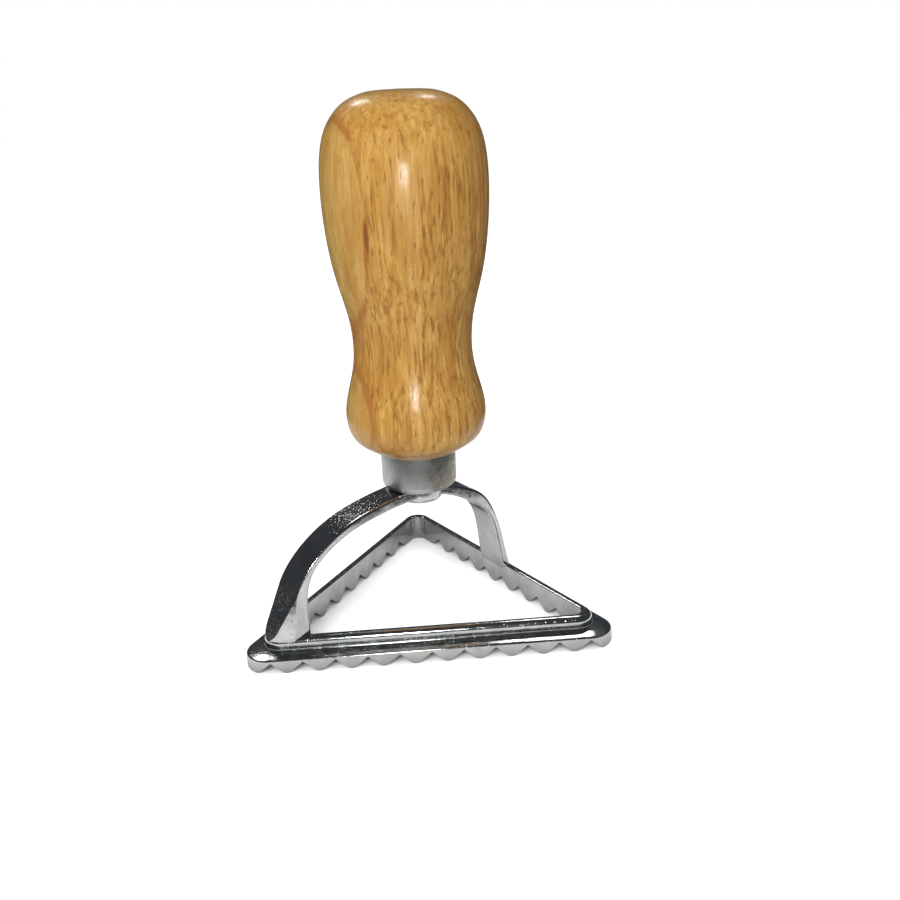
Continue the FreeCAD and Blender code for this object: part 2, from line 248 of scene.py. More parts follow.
def smooth_curve(knots, count, start=None, finish=None):
    """A curve through the knots with even bending: on each span a cubic, with
    slopes solved so that the bending runs on through every knot. The end slopes
    follow the cubic through the nearest four knots, turned to start and finish."""
    knots = np.array(knots, float)
    step = np.linalg.norm(np.diff(knots, axis=0), axis=1)
    time = np.concatenate([[0.0], np.cumsum(step)])

    def end_slope(times, places, heading):
        """Slope at an end, of the cubic through its four nearest knots."""
        powers = np.vander(times - times[0], 4, increasing=True)
        slope = np.linalg.solve(powers, places)[1]
        if heading is None:
            return slope
        heading = np.array(heading, float)
        return heading / np.linalg.norm(heading) * np.linalg.norm(slope)

    count_knots = len(knots)
    system = np.eye(count_knots)
    right = np.zeros((count_knots, 2))
    right[0] = end_slope(time[:4], knots[:4], start)
    right[-1] = end_slope(time[::-1][:4], knots[::-1][:4], finish)
    inner = np.arange(1, count_knots - 1)
    before, after = step[:-1], step[1:]
    system[inner, inner - 1] = after
    system[inner, inner] = 2 * (before + after)
    system[inner, inner + 1] = before
    rise = np.diff(knots, axis=0) / step[:, None]
    right[1:-1] = 3 * (after[:, None] * rise[:-1] + before[:, None] * rise[1:])
    slope = np.linalg.solve(system, right)
    when = np.linspace(0, time[-1], count)
    span = np.clip(np.searchsorted(time, when, side="right") - 1, 0, count_knots - 2)
    width = step[span][:, None]
    share = (when - time[span])[:, None] / width
    return ((1 + 2 * share) * (1 - share) ** 2 * knots[span]
            + share * (1 - share) ** 2 * width * slope[span]
            + share ** 2 * (3 - 2 * share) * knots[span + 1]
            - share ** 2 * (1 - share) * width * slope[span + 1])


def even_steps(line, count):
    """The same line in steps of equal length."""
    run = np.concatenate([[0.0], np.cumsum(np.linalg.norm(np.diff(line, axis=0), axis=1))])
    want = np.linspace(0, run[-1], count)
    return np.column_stack([np.interp(want, run, line[:, 0]), np.interp(want, run, line[:, 1])])


def rim_half_width(across, height):
    """Half the width of the rim's triangle at each place along the arch: two
    straight sides that meet in the round of the corner. Above the rim both
    sides lean inwards."""
    lean = FOOT_LEAN * np.clip(height - RIM_TOP, 0, None)
    middle = -2 * (RIM_REACH - RIM_BEND)
    round_part = RIM_BEND - FOOT_INSET
    straight = (RIM_REACH - FOOT_INSET + 0.5 * across) / math.cos(math.pi / 6)
    bend = np.sqrt(np.clip(round_part ** 2 - (across - middle) ** 2, 0, None))
    return np.where(across < middle - round_part / 2, bend, straight) - lean


def arch_skin():
    """The band as sections along its length. A section runs from the outer
    face round the edge, down the side, round the inner edge and back. Its width
    is the band's own or the rim's, whichever is less, and the line where the
    two meet has its own row of points. The points of a section are laid in
    reverse, so that the faces look outwards."""
    count = 260
    outer = smooth_curve(ARCH_OUTER, 900)
    outer = outer[(outer[:, 1] > 4.6) | (outer[:, 0] > 0)]
    outer = np.vstack([[outer[0, 0], ARCH_START], outer])
    inner = smooth_curve(ARCH_INNER, 900)
    inner = np.vstack([[ARCH_INNER[0][0], ARCH_START], inner])
    outer = even_steps(outer, count)
    inner = even_steps(inner, count)
    down = inner - outer
    depth = np.linalg.norm(down, axis=1)
    down /= depth[:, None]

    slope = (ARCH_HALF_LOW - ARCH_HALF_TOP) / ARCH_TOP

    def half_width(inwards):
        """Half the band's width at a depth under its outer face."""
        place = outer + down * inwards[:, None]
        own = ARCH_HALF_LOW - slope * place[:, 1]
        return np.minimum(own, rim_half_width(place[:, 0], place[:, 1]))

    rise = 0.5 / math.cos(math.pi / 6)
    lack = (ARCH_HALF_LOW - slope * outer[:, 1]
            - (RIM_REACH - FOOT_INSET + 0.5 * outer[:, 0]) / math.cos(math.pi / 6)
            + FOOT_LEAN * np.clip(outer[:, 1] - RIM_TOP, 0, None))
    gain = rise * down[:, 0] + (slope - np.where(outer[:, 1] > RIM_TOP, FOOT_LEAN, 0)) * down[:, 1]
    meet = np.where(np.abs(gain) > 1e-6, lack / np.where(np.abs(gain) > 1e-6, gain, 1), 0)
    meet = np.where(outer[:, 0] < -20, np.clip(meet, 0, None), 0)

    full = half_width(np.zeros(count))
    share = np.clip((full / (ARCH_HALF_LOW - slope * outer[:, 1]) - 0.8) / 0.2, 0, 1)
    edge_out = FOOT_EDGE + (ARCH_EDGE - FOOT_EDGE) * share ** 2 * (3 - 2 * share)
    edge_out = np.minimum(edge_out, 0.5 * full)
    edge_in = np.full(count, ARCH_EDGE)
    meet = np.clip(meet, edge_out + FOOT_EDGE, depth - edge_in - FOOT_EDGE)

    sideways = []
    inwards = []

    def add(offset, into):
        """One more point of every section, from the outer face round the edge."""
        inwards.append(into)
        sideways.append(offset)

    nothing = np.zeros(count)
    reach = half_width(nothing)
    for part in (0.0, 0.5, 0.96):
        add(part * (reach - edge_out), nothing)
    for out, up in quarter(7):
        into = edge_out * (1 - up)
        add(half_width(into) - edge_out * (1 - out), into)
    for part in (0.06, 0.3, 0.6, 0.9):
        into = edge_out + part * (meet - edge_out)
        add(half_width(into), into)
    for into in (meet - 0.03, meet, meet + 0.03):
        add(half_width(into), into)
    for part in (0.15, 0.5, 0.85, 0.97):
        into = meet + part * (depth - edge_in - meet)
        add(half_width(into), into)
    for up, out in quarter(7):
        into = depth - edge_in * (1 - up)
        add(half_width(into) - edge_in * (1 - out), into)
    reach = half_width(depth)
    for part in (0.96, 0.5):
        add(part * (reach - edge_in), depth)
    add(nothing, depth)

    inwards = np.stack(inwards, axis=1)
    sideways = np.stack(sideways, axis=1)
    inwards = np.concatenate([inwards, inwards[:, -2:0:-1]], axis=1)
    sideways = np.concatenate([sideways, -sideways[:, -2:0:-1]], axis=1)
    place = outer[:, None, :] + down[:, None, :] * inwards[:, :, None]
    grid = np.stack([place[:, :, 0], sideways, place[:, :, 1]], axis=-1)[:, ::-1]
    rows, columns = grid.shape[:2]
    faces = cell_faces(rows, columns, False)
    last = (rows - 1) * columns
    faces.append(list(range(columns))[::-1])
    faces.append(list(range(last, last + columns)))
    return grid.reshape(-1, 3), faces


# The hub is a short round boss at the crown of the arch. It is bored for the
# screw and countersunk from below for its head.
HUB_RADIUS, HUB_BOTTOM, HUB_TOP, BORE_RADIUS, SEAT_RADIUS = 4.25, 24.5, 27.5, 1.85, 3.4


def turned_skin(outline, steps, closed):
    """An outline of radius and height carried round the hub axis. A closed
    outline is a ring, and any other begins and ends on the axis in one point."""
    outline = np.array(outline, float)
    turn = np.arange(steps) * (2 * math.pi / steps)
    body = outline if closed else outline[1:-1]
    grid = np.stack([body[:, 0, None] * np.cos(turn), body[:, 0, None] * np.sin(turn),
                     np.repeat(body[:, 1, None], steps, axis=1)], axis=-1)
    points = grid.reshape(-1, 3)
    faces = cell_faces(len(body), steps, closed)
    if not closed:
        low, high = len(points), len(points) + 1
        ends = [[0, 0, outline[0, 1]], [0, 0, outline[-1, 1]]]
        points = np.vstack([points, ends])
        ring = np.arange(steps)
        onward = np.roll(ring, -1)
        top = ring + (len(body) - 1) * steps
        top_onward = onward + (len(body) - 1) * steps
        faces += np.column_stack([np.full(steps, low), onward, ring]).tolist()
        faces += np.column_stack([np.full(steps, high), top, top_onward]).tolist()
    return points, faces


def rounded(outline, radii, steps=6):
    """The outline with its corners rounded: at each corner an arc that starts
    and ends at the corner's radius along the two sides."""
    outline = np.array(outline, float)
    result = []
    for place, radius, before, after in zip(outline, radii, np.roll(outline, 1, axis=0),
                                            np.roll(outline, -1, axis=0)):
        if radius == 0:
            result.append(place)
            continue
        to_before = (before - place) / np.linalg.norm(before - place)
        to_after = (after - place) / np.linalg.norm(after - place)
        share = np.linspace(0, math.pi / 2, steps)[:, None]
        result += list(place + radius * (to_before * (1 - np.sin(share))
                                         + to_after * (1 - np.cos(share))))
    return np.array(result)


def hub_skin():
    """The boss from the bore's top out, down the wall, round and in to the
    countersink."""
    outline = [(BORE_RADIUS, HUB_TOP), (HUB_RADIUS, HUB_TOP), (HUB_RADIUS, HUB_BOTTOM),
               (SEAT_RADIUS, HUB_BOTTOM), (SEAT_RADIUS, HUB_BOTTOM + 0.25),
               (BORE_RADIUS, HUB_BOTTOM + 1.85)]
    outline = rounded(outline, [0, 0.1, 0.7, 0.06, 0, 0])
    return turned_skin(outline[::-1], 96, True)


def finish_material(name):
    """A new material's nodes and links, and its main shader."""
    material = bpy.data.materials.new(name)
    material.use_nodes = True
    tree = material.node_tree
    return material, tree, tree.nodes["Principled BSDF"]


def add_node(tree, kind, values=(), **settings):
    """A node with its settings. Each value is a number for a socket, or another
    node's socket that feeds it."""
    node = tree.nodes.new(kind)
    for key, setting in settings.items():
        setattr(node, key, setting)
    for socket, value in dict(values).items():
        if isinstance(value, bpy.types.NodeSocket):
            tree.links.new(value, node.inputs[socket])
        else:
            node.inputs[socket].default_value = value
    return node


def object_place(tree, scale, turn=(0, 0, 0)):
    """Object coordinates from the hub axis, stretched by the scale."""
    place = add_node(tree, "ShaderNodeTexCoord")
    shift = add_node(tree, "ShaderNodeMapping", {"Vector": place.outputs["Object"],
                                                 "Location": tuple(-HUB_AXIS * MM)})
    return add_node(tree, "ShaderNodeMapping", {"Vector": shift.outputs["Vector"], "Rotation": turn,
                                                "Scale": scale}).outputs["Vector"]


def ramp(tree, feed, stops):
    """A colour ramp: each stop is a place and a colour."""
    node = add_node(tree, "ShaderNodeValToRGB", {"Fac": feed})
    bands = node.color_ramp.elements
    while len(bands) < len(stops):
        bands.new(0.5)
    for band, (place, colour) in zip(bands, stops):
        band.position = place
        band.color = (*colour, 1.0)
    return node.outputs["Color"]


def grey(level):
    """The same level in all three colours."""
    return (level, level, level)


CHROME_DARK, CHROME_LIGHT = (0.52, 0.54, 0.535), (0.72, 0.735, 0.72)
CHROME_CLEAR, CHROME_HAZY = 0.07, 0.2


def chrome_finish():
    """Bright chrome over a casting: almost a mirror, with a slow ripple left
    by the polishing wheel, fine pits, and duller patches."""
    material, tree, shader = finish_material("bright_chrome")
    shader.inputs["Metallic"].default_value = 1.0
    place = object_place(tree, (1000, 1000, 1000))
    cloud = add_node(tree, "ShaderNodeTexNoise", {"Vector": place, "Scale": 0.22, "Detail": 3.0,
                                                  "Roughness": 0.6})
    tint = ramp(tree, cloud.outputs["Fac"], [(0.3, CHROME_DARK), (0.7, CHROME_LIGHT)])
    tree.links.new(tint, shader.inputs["Base Color"])
    haze = add_node(tree, "ShaderNodeTexNoise", {"Vector": place, "Scale": 0.9, "Detail": 4.0,
                                                 "Roughness": 0.6})
    dull = ramp(tree, haze.outputs["Fac"], [(0.35, grey(CHROME_CLEAR)), (0.75, grey(CHROME_HAZY))])
    tree.links.new(dull, shader.inputs["Roughness"])
    ripple = add_node(tree, "ShaderNodeTexNoise", {"Vector": place, "Scale": 0.2, "Detail": 2.0})
    pits = add_node(tree, "ShaderNodeTexNoise", {"Vector": place, "Scale": 3.0, "Detail": 2.0})
    pit_mask = add_node(tree, "ShaderNodeMapRange", {"Value": pits.outputs["Fac"], "From Min": 0.62,
                                                     "From Max": 0.72, "To Min": 0.0, "To Max": -1.0})
    wave = add_node(tree, "ShaderNodeBump", {"Height": ripple.outputs["Fac"], "Strength": 0.17,
                                             "Distance": 0.0003})
    grain = add_node(tree, "ShaderNodeBump", {"Height": pit_mask.outputs["Result"], "Strength": 0.3,
                                              "Distance": 0.00004, "Normal": wave.outputs["Normal"]})
    tree.links.new(grain.outputs["Normal"], shader.inputs["Normal"])
    return material


casting = lay_mesh("cutter_casting_chromed", [ring_skin(), arch_skin(), hub_skin()])
casting.data.materials.append(chrome_finish())
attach(casting, "root")
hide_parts("cutter_casting")


# A plated countersunk wood screw holds the stack together. Its head lies in
# the hub's countersink, seen only from below, and its thread is in the handle.
SCREW_RADIUS, SCREW_HEAD, SCREW_LENGTH = 1.75, 3.35, 35.0
CROSS_HALF_WIDTH, CROSS_HALF_SPAN, CROSS_DEPTH = 0.45, 1.7, 1.1
THREAD_PITCH, THREAD_DEPTH, PLAIN_SHANK = 1.6, 0.42, 9.0


def screw_skin():
    """The screw as rows round its axis, from the middle of the cross recess out
    over the head and up the shank. The recess rows follow the outline of a
    cross. On the thread the radius falls by a wave that moves on one pitch
    each turn."""
    steps = 144
    turn = np.arange(steps) * (2 * math.pi / steps)
    run = np.maximum(np.abs(np.cos(turn)), 1e-9)
    lift = np.maximum(np.abs(np.sin(turn)), 1e-9)
    flat_arm = np.minimum(CROSS_HALF_SPAN / run, CROSS_HALF_WIDTH / lift)
    tall_arm = np.minimum(CROSS_HALF_WIDTH / run, CROSS_HALF_SPAN / lift)
    cross = np.maximum(flat_arm, tall_arm)
    rows = [(cross * 0.45, CROSS_DEPTH), (cross * 0.86, CROSS_DEPTH), (cross * 0.98, 0.12),
            (cross * 1.03, 0.0), (np.maximum(cross * 1.08, 2.0), 0.0)]
    for radius, height in ((2.6, 0.0), (3.2, 0.0), (SCREW_HEAD - 0.02, 0.05), (SCREW_HEAD, 0.25),
                           (1.8, 1.8), (SCREW_RADIUS, 1.9), (SCREW_RADIUS, PLAIN_SHANK - 0.2)):
        rows.append((np.full(steps, radius), height))
    for height in np.arange(PLAIN_SHANK, SCREW_LENGTH - 0.15, 0.1):
        phase = (height / THREAD_PITCH - turn / (2 * math.pi)) % 1.0
        tooth = np.clip(np.abs(phase - 0.5) * 2.8, 0, 1)
        fade = min(1.0, (height - PLAIN_SHANK) / 2.0)
        taper = min(1.0, (SCREW_LENGTH - height) / 3.4)
        rows.append(((SCREW_RADIUS - THREAD_DEPTH * tooth * fade) * taper, height))
    grid = np.stack([np.column_stack([radius * np.cos(turn), radius * np.sin(turn),
                                      np.full(steps, HUB_BOTTOM + height)]) for radius, height in rows])
    ends = [[0, 0, HUB_BOTTOM + CROSS_DEPTH], [0, 0, HUB_BOTTOM + SCREW_LENGTH]]
    points = np.vstack([grid.reshape(-1, 3), ends])
    faces = cell_faces(len(rows), steps, False)
    ring = np.arange(steps)
    onward = np.roll(ring, -1)
    top = (len(rows) - 1) * steps
    faces += np.column_stack([np.full(steps, len(points) - 2), onward, ring]).tolist()
    faces += np.column_stack([np.full(steps, len(points) - 1), ring + top, onward + top]).tolist()
    return points, faces


ZINC_DARK, ZINC_LIGHT = (0.50, 0.51, 0.53), (0.66, 0.66, 0.65)


def plated_finish():
    """Bright zinc plating with a soft sheen and faint clouds."""
    material, tree, shader = finish_material("zinc_plating")
    shader.inputs["Metallic"].default_value = 1.0
    place = object_place(tree, (1000, 1000, 1000))
    cloud = add_node(tree, "ShaderNodeTexNoise", {"Vector": place, "Scale": 0.8, "Detail": 3.0})
    tint = ramp(tree, cloud.outputs["Fac"], [(0.3, ZINC_DARK), (0.7, ZINC_LIGHT)])
    tree.links.new(tint, shader.inputs["Base Color"])
    dull = ramp(tree, cloud.outputs["Fac"], [(0.3, grey(0.34)), (0.7, grey(0.24))])
    tree.links.new(dull, shader.inputs["Roughness"])
    return material


screw = lay_mesh("handle_screw_plated", [screw_skin()], 40)
screw.data.materials.append(plated_finish())
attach(screw, "root")
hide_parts("handle_screw")


# The ferrule is a cup pressed from thin steel sheet and rubbed to a satin
# finish. Its floor lies on the hub with the screw passing through it, and the
# handle's tenon fills it.
FERRULE_RADIUS, FERRULE_BEND, FERRULE_WALL, FERRULE_TOP = 7.3, 1.3, 0.7, 35.0


def ferrule_skin():
    """The cup's wall in section: out along the floor, round the pressed bend,
    up to the soft lip, and back down inside."""
    outside = [(BORE_RADIUS, HUB_TOP), (FERRULE_RADIUS, HUB_TOP), (FERRULE_RADIUS, FERRULE_TOP),
               (FERRULE_RADIUS - FERRULE_WALL, FERRULE_TOP),
               (FERRULE_RADIUS - FERRULE_WALL, HUB_TOP + FERRULE_WALL),
               (BORE_RADIUS, HUB_TOP + FERRULE_WALL)]
    outline = rounded(outside, [0, FERRULE_BEND, 0.16, 0.16, 0.6, 0], 8)
    return turned_skin(outline, 160, True)


# The last steel colour is painted shade, a brownish darkening for one side, and the heading points to
# that side.
STEEL_LIGHT, STEEL_GREY, STEEL_SHADE = (0.66, 0.67, 0.66), (0.58, 0.58, 0.55), (0.34, 0.31, 0.26)
SHADE_SIDE = (0.035, -0.115, 0.0)


def satin_finish():
    """Satin steel: rubbing marks that run round it, cloudy sheen and tone, and
    painted shade: a brownish darkening on the side that faces one heading."""
    material, tree, shader = finish_material("satin_steel")
    shader.inputs["Metallic"].default_value = 1.0
    place = object_place(tree, (1000, 1000, 1000))
    marks_place = object_place(tree, (160, 160, 9000))
    marks = add_node(tree, "ShaderNodeTexNoise", {"Vector": marks_place, "Scale": 1.0, "Detail": 3.0})
    cloud = add_node(tree, "ShaderNodeTexNoise", {"Vector": place, "Scale": 0.55, "Detail": 5.0,
                                                  "Roughness": 0.7, "Distortion": 0.6})
    # Painted shade: the side facing the heading is pushed towards the dark brownish colour.
    side = add_node(tree, "ShaderNodeVectorMath", {0: place, 1: SHADE_SIDE},
                    operation="DOT_PRODUCT")
    side_shade = add_node(tree, "ShaderNodeMapRange", {"Value": side.outputs["Value"], "From Min": 0.62,
                                                       "From Max": 0.86, "To Min": 0.0, "To Max": 0.3})
    cloud_and_shade = add_node(tree, "ShaderNodeMath", {0: cloud.outputs["Fac"], 1: side_shade.outputs["Result"]},
                     operation="ADD")
    tint = ramp(tree, cloud_and_shade.outputs["Value"], [(0.35, STEEL_LIGHT), (0.6, STEEL_GREY),
                                               (0.85, STEEL_SHADE)])
    tree.links.new(tint, shader.inputs["Base Color"])
    sheen = ramp(tree, marks.outputs["Fac"], [(0.3, grey(0.30)), (0.7, grey(0.42))])
    tree.links.new(sheen, shader.inputs["Roughness"])
    bump = add_node(tree, "ShaderNodeBump", {"Height": marks.outputs["Fac"], "Strength": 0.25,
                                             "Distance": 0.00003})
    tree.links.new(bump.outputs["Normal"], shader.inputs["Normal"])
    return material


ferrule = lay_mesh("ferrule_satin", [ferrule_skin()], 50)
ferrule.data.materials.append(satin_finish())
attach(ferrule, "root")
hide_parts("ferrule")


# The handle is turned from one piece of light hardwood, drilled for the screw
# and varnished. The pale sapwood shows wherever the turning stands out past
# one growth ring.
HANDLE_LENGTH, HANDLE_RADIUS = 66.0, 15.1
HANDLE_KNOTS = [(0.0, 0.510), (0.013, 0.616), (0.048, 0.812), (0.085, 0.877), (0.120, 0.889),
                (0.190, 0.833), (0.261, 0.759), (0.318, 0.740), (0.402, 0.776), (0.509, 0.891),
                (0.615, 0.968), (0.721, 1.0), (0.791, 0.997), (0.862, 0.960), (0.898, 0.914),
                (0.933, 0.830), (0.961, 0.722), (0.978, 0.612), (0.990, 0.480), (0.9985, 0.240),
                (1.0, 0.0)]
TENON_RADIUS, TENON_END, PILOT_RADIUS, PILOT_TOP = 6.5, 28.7, 1.77, 60.0


def handle_skin():
    """The pilot hole, the tenon and the turned outline in one line from the
    end of the hole to the top of the handle, carried round the axis."""
    knots = [(HANDLE_RADIUS * share_r, FERRULE_TOP + HANDLE_LENGTH * share_z)
             for share_z, share_r in HANDLE_KNOTS]
    outline = smooth_curve(knots, 260, (1.0, 0.25), (1.0, 0.0))
    inside = [(0, PILOT_TOP), (PILOT_RADIUS, PILOT_TOP), (PILOT_RADIUS, TENON_END),
              (TENON_RADIUS - 0.6, TENON_END), (TENON_RADIUS, TENON_END + 0.6),
              (TENON_RADIUS, FERRULE_TOP)]
    return turned_skin(np.vstack([inside, outline]), 256, False)


HEART_DARK, HEART_MIDDLE, HEART_LIGHT = (0.37, 0.175, 0.030), (0.45, 0.245, 0.049), (0.54, 0.330, 0.090)
SAPWOOD_DARK, SAPWOOD_LIGHT = (0.40, 0.235, 0.052), (0.52, 0.34, 0.095)
RING_TINT, FIBRE_TINT, BLOTCH_TINT = (0.42, 0.22, 0.06), (0.24, 0.100, 0.016), (0.33, 0.150, 0.019)
LINE_TINT, SEAM_TINT = (0.27, 0.105, 0.014), (0.30, 0.115, 0.020)
MARK_TINT, FLECK_TINT = (0.16, 0.035, 0.010), (0.21, 0.095, 0.022)
SAPWOOD_TURN = -191.7
BEND_START, RING_BEND, RING_WAVER, RING_RATE = 75.0, 0.0034, 2.6, 4.3
MARK_PLACE, MARK_SHAPE = (25.6, 14.9, -21.7), (2.0, 2.0, 0.28)
COAT_CLEAR, COAT_DULL = 0.14, 0.30


def wood_finish():
    """Varnished hardwood. Growth rings are a sine of the distance across the
    blank, bent back by the square of the height. Fibres, streaks and pores are
    noise stretched along the blank, the dark lines are where such noise crosses
    its middle, and the sapwood lies past one distance with a brown seam."""
    material, tree, shader = finish_material("varnished_hardwood")
    place = object_place(tree, (1000, 1000, 1000))

    def mathed(operation, first, second=0.0, third=0.0):
        """One sum on up to three values."""
        node = add_node(tree, "ShaderNodeMath", {0: first, 1: second, 2: third}, operation=operation)
        return node.outputs["Value"]

    def faded(feed, low, high, to_low=0.0, to_high=1.0):
        """A soft step from one level to another between two values."""
        node = add_node(tree, "ShaderNodeMapRange", {"Value": feed, "From Min": low, "From Max": high,
                                                     "To Min": to_low, "To Max": to_high},
                        interpolation_type="SMOOTHSTEP")
        return node.outputs["Result"]

    def mixed(share, first, second):
        """The first colour, with a share of the second."""
        node = add_node(tree, "ShaderNodeMix", {0: share, 6: first}, data_type="RGBA")
        if isinstance(second, tuple):
            node.inputs[7].default_value = (*second, 1.0)
        else:
            tree.links.new(second, node.inputs[7])
        return node.outputs[2]

    def grain(stretch, detail, roughness=0.5, distortion=0.0):
        """Noise with cells of one over the stretch, in metres, in each direction."""
        node = add_node(tree, "ShaderNodeTexNoise", {
            "Vector": object_place(tree, stretch), "Scale": 1.0, "Detail": detail,
            "Roughness": roughness, "Distortion": distortion})
        return node.outputs["Fac"]

    sap_heading = math.radians(SAPWOOD_TURN)
    across = add_node(tree, "ShaderNodeVectorMath",
                      {0: place, 1: (math.cos(sap_heading), math.sin(sap_heading), 0.0)},
                      operation="DOT_PRODUCT").outputs["Value"]
    height = add_node(tree, "ShaderNodeSeparateXYZ", {0: place}).outputs["Z"]
    above = mathed("MAXIMUM", mathed("SUBTRACT", height, BEND_START), 0.0)
    bent = mathed("MULTIPLY", mathed("MULTIPLY", above, above), -RING_BEND)
    waver = mathed("MULTIPLY", mathed("SUBTRACT", grain((120, 120, 45), 2.0), 0.5), RING_WAVER)
    depth = mathed("ADD", mathed("ADD", across, bent), waver)

    sapwood = faded(depth, 11.2, 11.9)
    seam = mathed("MULTIPLY", faded(depth, 10.5, 11.3), faded(depth, 11.35, 11.8, 1.0, 0.0))

    rings = mathed("SINE", mathed("MULTIPLY", depth, RING_RATE))
    fibre = grain((3200, 3200, 130), 4.0, 0.6)
    streak = grain((900, 900, 40), 3.0, 0.55)
    pore = grain((1700, 1700, 330), 2.0)
    blotch = grain((150, 150, 70), 4.0, 0.65)
    stripe = grain((430, 430, 30), 3.0, 0.5, 0.3)
    gather = mathed("MULTIPLY_ADD", rings, 0.035, pore)
    fleck = faded(gather, 0.60, 0.69)

    heart = ramp(tree, streak, [(0.32, HEART_DARK), (0.46, HEART_MIDDLE), (0.64, HEART_LIGHT)])
    pale = ramp(tree, streak, [(0.30, SAPWOOD_DARK), (0.65, SAPWOOD_LIGHT)])
    base = mixed(sapwood, heart, pale)
    base = mixed(faded(rings, -1.0, 1.0, 0.0, 0.22), base, RING_TINT)
    base = mixed(faded(fibre, 0.35, 0.60, 0.30, 0.0), base, FIBRE_TINT)
    base = mixed(faded(blotch, 0.40, 0.66, 0.0, 0.55), base, BLOTCH_TINT)
    line = faded(mathed("ABSOLUTE", mathed("SUBTRACT", stripe, 0.5)), 0.0, 0.055, 1.0, 0.0)
    line_share = mathed("MULTIPLY", faded(pore, 0.35, 0.60, 0.25, 0.85),
                        faded(sapwood, 0.0, 1.0, 1.0, 0.3))
    line_share = mathed("MULTIPLY", line_share, faded(height, 84.0, 95.0, 1.0, 0.0))
    base = mixed(mathed("MULTIPLY", line, line_share), base, LINE_TINT)
    mark_place = add_node(tree, "ShaderNodeMapping", {"Vector": place, "Location": MARK_PLACE,
                                                      "Scale": MARK_SHAPE})
    mark_reach = add_node(tree, "ShaderNodeVectorMath", {0: mark_place.outputs["Vector"]},
                          operation="LENGTH").outputs["Value"]
    seam_share = mathed("MULTIPLY", seam, faded(blotch, 0.35, 0.60, 0.25, 0.85))
    base = mixed(seam_share, base, SEAM_TINT)
    base = mixed(faded(mark_reach, 0.5, 1.3, 0.75, 0.0), base, MARK_TINT)
    fleck_share = mathed("MULTIPLY", fleck, faded(sapwood, 0.0, 1.0, 0.72, 0.25))
    base = mixed(fleck_share, base, FLECK_TINT)
    tree.links.new(base, shader.inputs["Base Color"])
    shader.inputs["Roughness"].default_value = 0.5
    shader.inputs["Specular IOR Level"].default_value = 0.15
    shader.inputs["Coat Weight"].default_value = 0.7
    shader.inputs["Coat IOR"].default_value = 1.45
    coat_wave = add_node(tree, "ShaderNodeTexNoise", {"Vector": place, "Scale": 0.5, "Detail": 3.0})
    coat_dull = ramp(tree, coat_wave.outputs["Fac"], [(0.3, grey(COAT_CLEAR)), (0.7, grey(COAT_DULL))])
    tree.links.new(coat_dull, shader.inputs["Coat Roughness"])
    surface = mathed("MULTIPLY_ADD", fleck, -1.0, fibre)
    bump = add_node(tree, "ShaderNodeBump", {"Height": surface, "Strength": 0.25, "Distance": 0.00006})
    tree.links.new(bump.outputs["Normal"], shader.inputs["Normal"])
    coat_bump = add_node(tree, "ShaderNodeBump", {"Height": surface, "Strength": 0.12,
                                                  "Distance": 0.00005})
    tree.links.new(coat_bump.outputs["Normal"], shader.inputs["Coat Normal"])
    return material


handle = lay_mesh("wooden_handle_varnished", [handle_skin()], 50)
handle.data.materials.append(wood_finish())
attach(handle, "root")
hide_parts("wooden_handle")


# The table is a plain white top with a faint shadow under the teeth, partly cast
# by the lamps and partly painted shade. The camera sees the top itself, and the
# polish mirrors a small disc laid on it.
PAPER_WHITE, TABLE_RADIUS, TABLE_GLOW, TABLE_SHADE = 0.82, 3.0, 0.56, 0.007
SHEET_WHITE, SHEET_RADIUS, SHEET_PLACE = 0.40, 0.1, (0.021, 0.036, 0.0001)
# The last of these is the power of the painted shade on the sheet's glow.
SHEET_GLOW, SHEET_SHADE, SHEET_SHADE_POWER = 0.47, 0.02, 2.6


def seen_rays(tree):
    """One for rays from the camera, and for rays mirrored or passed on."""
    path = add_node(tree, "ShaderNodeLightPath")
    both = add_node(tree, "ShaderNodeMath", {0: path.outputs["Is Camera Ray"],
                                             1: path.outputs["Is Glossy Ray"]}, operation="MAXIMUM")
    return add_node(tree, "ShaderNodeMath", {0: both.outputs["Value"],
                                             1: path.outputs["Is Transmission Ray"]},
                    operation="MAXIMUM").outputs["Value"]


def lay_disc(name, radius, place):
    """A flat disc facing up: 96 points evenly round a circle at the place."""
    turn = np.arange(96) * (2 * math.pi / 96)
    edge = np.column_stack([radius * np.cos(turn) + place[0], radius * np.sin(turn) + place[1],
                            np.full(96, place[2])])
    mesh = bpy.data.meshes.new(name)
    mesh.from_pydata(edge.tolist(), [], [list(range(96))])
    mesh.update()
    disc = bpy.data.objects.new(name, mesh)
    bpy.context.scene.collection.objects.link(disc)
    return disc


def paper_finish(name, level):
    """Dull paper with a white glow, and its nodes, for the glow's strength."""
    material, tree, shader = finish_material(name)
    shader.inputs["Base Color"].default_value = (*grey(level), 1.0)
    shader.inputs["Roughness"].default_value = 0.9
    shader.inputs["Specular IOR Level"].default_value = 0.0
    shader.inputs["Emission Color"].default_value = (1.0, 1.0, 1.0, 1.0)
    return material, tree, shader


def openness(tree, distance):
    """How much of the sky a place sees within the distance: less by the teeth. It
    dims the glows below as painted shade.
    """
    return add_node(tree, "ShaderNodeAmbientOcclusion", {"Distance": distance}, samples=8).outputs["AO"]


